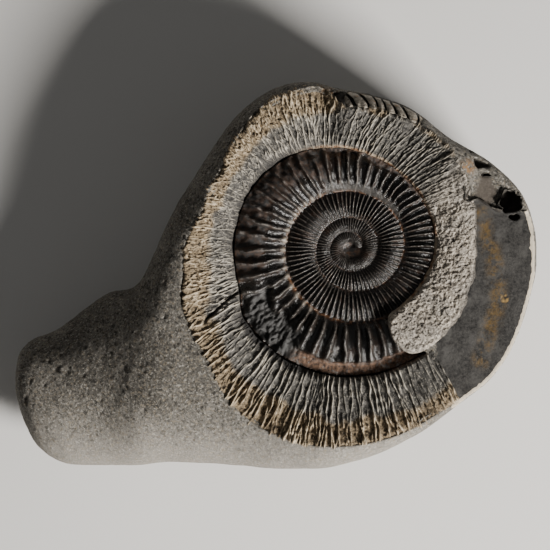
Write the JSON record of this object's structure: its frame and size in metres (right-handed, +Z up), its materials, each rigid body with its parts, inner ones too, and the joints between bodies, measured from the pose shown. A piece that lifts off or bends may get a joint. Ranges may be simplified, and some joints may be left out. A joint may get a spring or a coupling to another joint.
{
  "type": "dactylioceras ammonite fossil",
  "caption": "Coiled, ribbed ammonite shell lying face up in a water-worn limestone nodule with a pale ribbed ring, a flat break and a rounded tail.",
  "frame": {"origin": "middle of the outline seen from above, level with the flat spot that the nodule rests on", "axes": "+X from the tail to the broad end, +Y to the far side, +Z up through the open face of the coil"},
  "size_m": [0.1306, 0.097, 0.043],
  "materials": {
    "limestone": "matt, fine-grained and speckled",
    "fossil_shell": "glossy, near black with rusty seams"
  },
  "bodies": {
    "root": {"nodule": "limestone", "ammonite": "fossil_shell"}
  },
  "joints": []
}
